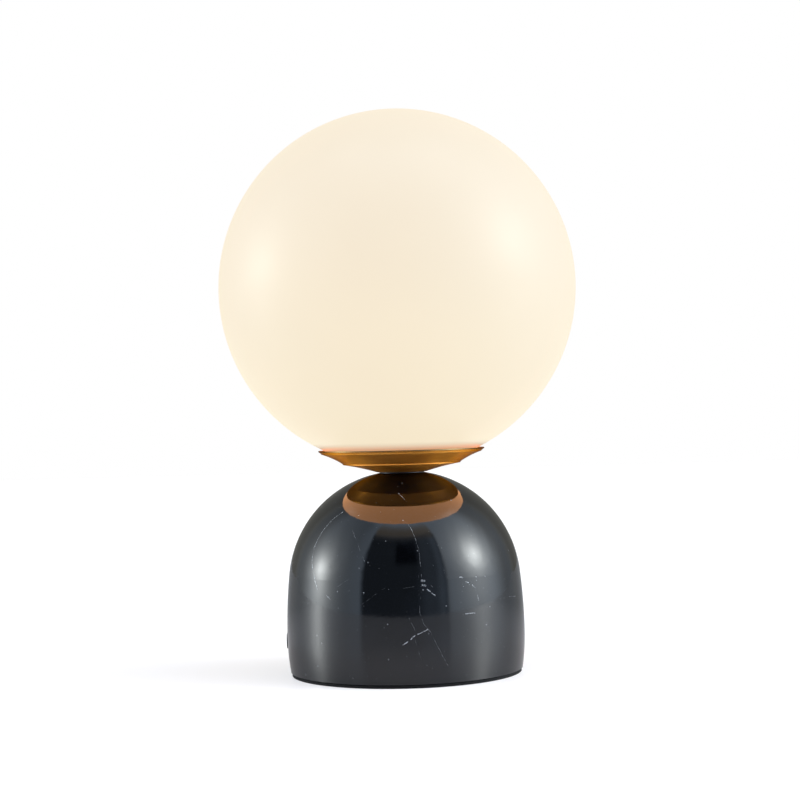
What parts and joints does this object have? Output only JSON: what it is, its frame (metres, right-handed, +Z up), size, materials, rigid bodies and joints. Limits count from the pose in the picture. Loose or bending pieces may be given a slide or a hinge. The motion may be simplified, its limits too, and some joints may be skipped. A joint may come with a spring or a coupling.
{
  "type": "table lamp",
  "caption": "Table lamp with an opal glass globe seated in a shallow brass dish on a domed block of polished black marble.",
  "frame": {"origin": "middle of the foot pad's underside, on the table", "axes": "+Z up along the lamp's axis, -X towards the cord outlet, -Y towards the viewer"},
  "size_m": [0.2, 0.2, 0.315],
  "materials": {
    "opal_glass": "satin opal glass, lit from inside",
    "marble_black": "polished black marble with fine white veins",
    "brass_satin": "satin brass under clear lacquer",
    "brass_plain": "plain turned brass",
    "black_metal": "dark brown-black lacquer",
    "felt_black": "black felt",
    "steel_zinc": "zinc plated",
    "spring_steel": "rolled spring steel",
    "nickel_cap": "nickel plated",
    "plastic_black": "moulded",
    "plastic_white": "moulded",
    "ceramic_white": "glazed",
    "rubber_black": "matt",
    "silicone_clear": "translucent silicone",
    "lead_brown": "insulation",
    "lead_blue": "insulation",
    "lead_green_yellow": "insulation",
    "led_board": "white solder mask",
    "led_phosphor": "phosphor",
    "frosted_dome": "frosted"
  },
  "bodies": {
    "base": {"foot_pad": "felt_black", "marble_base": "marble_black", "cord_bush": "plastic_black", "lamp_tube": "steel_zinc", "rubber_washer": "rubber_black", "recess_plate": "steel_zinc", "spring_washer": "steel_zinc", "clamp_nut": "steel_zinc", "neck_collar": "black_metal", "cord_clamp_block": "plastic_black", "cord_clamp_bar": "plastic_black", "cord_clamp_screws": "steel_zinc", "terminal_block": "plastic_white", "terminal_tubes": "brass_plain", "terminal_screws": "steel_zinc", "terminal_block_screw": "steel_zinc", "earth_tag": "brass_plain", "earth_screw": "steel_zinc", "live_lead": "lead_brown", "neutral_lead": "lead_blue", "earth_lead": "lead_green_yellow", "brass_dish": "brass_satin", "seat_ring": "silicone_clear", "globe_clip_plate": "steel_zinc", "globe_clips": "spring_steel", "clip_rivets": "steel_zinc", "dish_nut": "brass_plain", "holder_cap": "plastic_white", "holder_locking_screw": "steel_zinc", "holder_insert": "ceramic_white", "holder_contact_posts": "brass_plain", "holder_post_screws": "steel_zinc", "holder_centre_contact": "brass_plain", "holder_screw_shell": "brass_plain", "holder_body": "plastic_white"},
    "globe": {"glass_globe": "opal_glass"},
    "bulb": {"bulb_cap": "nickel_cap", "bulb_cap_insulator": "plastic_black", "bulb_tip_contact": "nickel_cap", "bulb_housing": "plastic_white", "bulb_led_board": "led_board", "bulb_leds": "led_phosphor", "bulb_diffuser": "frosted_dome"}
  },
  "joints": [
    {"name": "globe_lift", "type": "slide", "parent": "base", "child": "globe", "axis": [0, 0, 1], "range_m": [0, 0.15]},
    {"name": "bulb_turn", "type": "hinge", "parent": "base", "child": "bulb", "pos_m": [0, 0, 0.16], "axis": [0, 0, 1], "range_deg": [0, 1080]}
  ]
}
